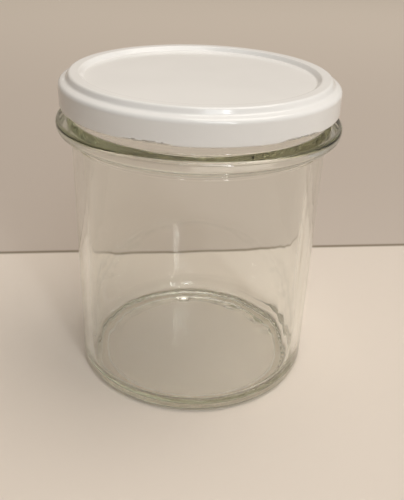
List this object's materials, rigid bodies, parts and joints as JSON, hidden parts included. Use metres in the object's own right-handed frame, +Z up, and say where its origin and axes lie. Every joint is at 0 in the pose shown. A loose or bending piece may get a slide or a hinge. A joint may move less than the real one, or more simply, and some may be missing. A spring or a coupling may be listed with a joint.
{
  "type": "glass jar with twist-off lid",
  "caption": "Straight-sided clear glass jar with a thick bead under its neck, closed by a white pressed-steel twist-off lid; empty inside.",
  "frame": {"origin": "centre of the jar's foot, on the surface it stands on", "axes": "+Z up along the jar's axis; -Y towards the side seen first"},
  "size_m": [0.0878, 0.0876, 0.099],
  "materials": {
    "glass": "clear soda-lime glass with a faint green tint, fire-polished",
    "lid_enamel": "white stoving enamel on thin steel sheet, semi-gloss",
    "compound": "off-white sealing compound, matt"
  },
  "bodies": {
    "root": {"jar": "glass", "lid": "lid_enamel", "lid_seal": "compound"}
  },
  "joints": []
}
